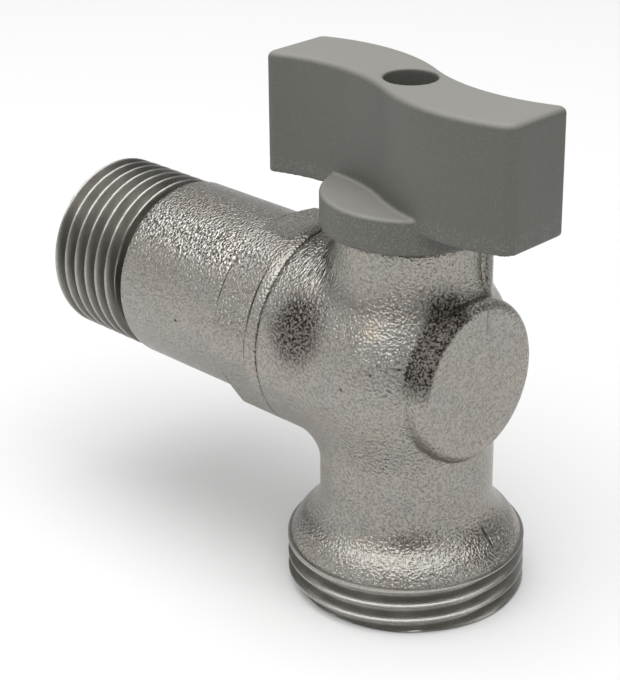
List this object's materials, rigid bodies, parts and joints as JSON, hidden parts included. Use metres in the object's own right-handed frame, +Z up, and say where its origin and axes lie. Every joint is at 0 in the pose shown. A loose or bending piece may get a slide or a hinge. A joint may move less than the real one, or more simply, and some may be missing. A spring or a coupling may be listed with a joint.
{
  "type": "washing machine valve",
  "caption": "Angle ball valve with a threaded pipe tail, a larger threaded hose outlet below and a wavy lever handle that opens and shuts the water to a washing machine.",
  "frame": {"origin": "centre of the outlet's mouth, on its end face", "axes": "+Z up the outlet and the stem to the handle, +X away from the pipe tail, which lies along -X at z = 27 mm"},
  "size_m": [0.0661, 0.0264, 0.0583],
  "materials": {
    "plated_brass": "sand-blasted and nickel plated, satin",
    "stem_brass": "turned, bare",
    "ball_chrome": "polished plating",
    "seat_plastic": "white, waxy",
    "seal_rubber": "black, satin",
    "handle_plastic": "warm grey moulding with a fine grain",
    "screw_steel": "zinc plated"
  },
  "bodies": {
    "valve": {"valve_body": "plated_brass", "inlet_tailpiece": "plated_brass", "tailpiece_o_ring": "seal_rubber", "inlet_seat": "seat_plastic", "front_seat": "seat_plastic", "stem_thrust_washer": "seat_plastic"},
    "lever": {"handle": "handle_plastic", "handle_screw": "screw_steel", "handle_screw_washer": "screw_steel", "stem": "stem_brass", "stem_o_ring_lower": "seal_rubber", "stem_o_ring_upper": "seal_rubber", "ball": "ball_chrome"}
  },
  "joints": [
    {"name": "handle_turn", "type": "hinge", "parent": "valve", "child": "lever", "pos_m": [0, 0, 0.045], "axis": [0, 0, -1], "range_deg": [0, 90]}
  ]
}
